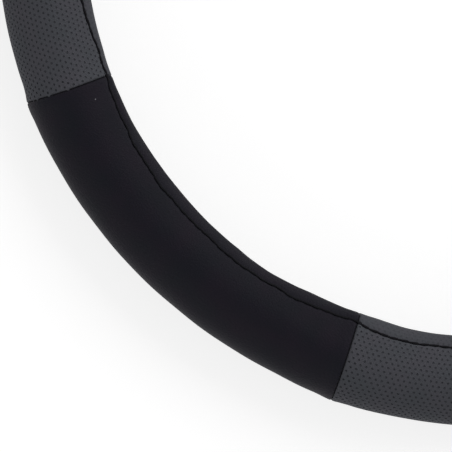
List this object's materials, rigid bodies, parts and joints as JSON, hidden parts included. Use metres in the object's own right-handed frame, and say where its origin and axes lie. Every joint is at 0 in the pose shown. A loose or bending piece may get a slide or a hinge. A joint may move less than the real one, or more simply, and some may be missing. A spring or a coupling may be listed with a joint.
{
  "type": "steering wheel cover",
  "caption": "Slip-on steering wheel cover: a ring with a C-shaped section of smooth black and perforated grey leather panels, sewn end to end and hemmed round a ridged rubber ring",
  "frame": {"origin": "centre of the ring, on the plane that the cover lies on", "axes": "+Z is the axis of the ring and points to the driver when the cover is on a wheel; +X passes through the middle of a perforated panel"},
  "size_m": [0.38, 0.38, 0.036],
  "materials": {
    "black_leather": "smooth, satin",
    "grey_perforated_leather": "perforated, matt",
    "black_rubber": "moulded, matt",
    "black_thread": "bonded nylon, matt"
  },
  "bodies": {
    "root": {"rubber_grip_ring": "black_rubber", "perforated_panel_1": "grey_perforated_leather", "perforated_panel_2": "grey_perforated_leather", "perforated_panel_3": "grey_perforated_leather", "perforated_panel_4": "grey_perforated_leather", "plain_panel_1": "black_leather", "plain_panel_2": "black_leather", "plain_panel_3": "black_leather", "plain_panel_4": "black_leather", "seam_thread_1": "black_thread", "seam_thread_2": "black_thread", "seam_thread_3": "black_thread", "seam_thread_4": "black_thread", "seam_thread_5": "black_thread", "seam_thread_6": "black_thread", "seam_thread_7": "black_thread", "seam_thread_8": "black_thread", "front_hem_stitching": "black_thread", "back_hem_stitching": "black_thread"}
  },
  "joints": []
}
